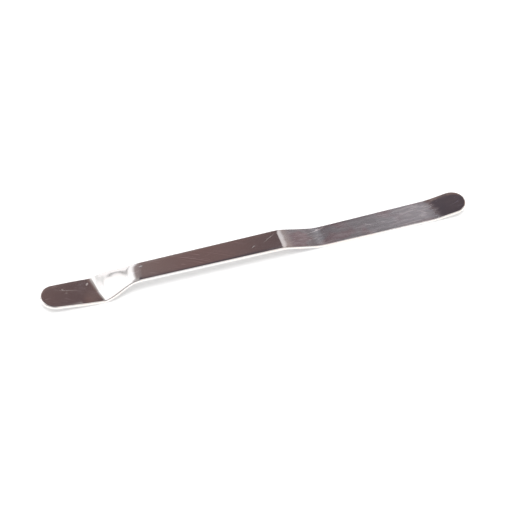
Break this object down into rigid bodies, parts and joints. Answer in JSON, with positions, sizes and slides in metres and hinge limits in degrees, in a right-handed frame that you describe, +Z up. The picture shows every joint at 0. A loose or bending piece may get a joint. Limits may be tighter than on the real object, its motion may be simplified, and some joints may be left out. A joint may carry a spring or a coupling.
{
  "type": "lab spatula",
  "caption": "Flat steel strip spatula with a round-ended paddle, an S-shaped joggle, a raised tapering handle and a long flat blade with a turned-up round tip.",
  "frame": {"origin": "centre of the bounding box on the bench plane that the heel and the blade rest on", "axes": "+X along the strip from the paddle's end to the blade's end, +Z up from the bench, the strip's centre line in the XZ plane and its outline symmetric about it"},
  "size_m": [0.2, 0.0154, 0.0067],
  "materials": {
    "steel": "polished"
  },
  "bodies": {
    "root": {"spatula": "steel"}
  },
  "joints": []
}
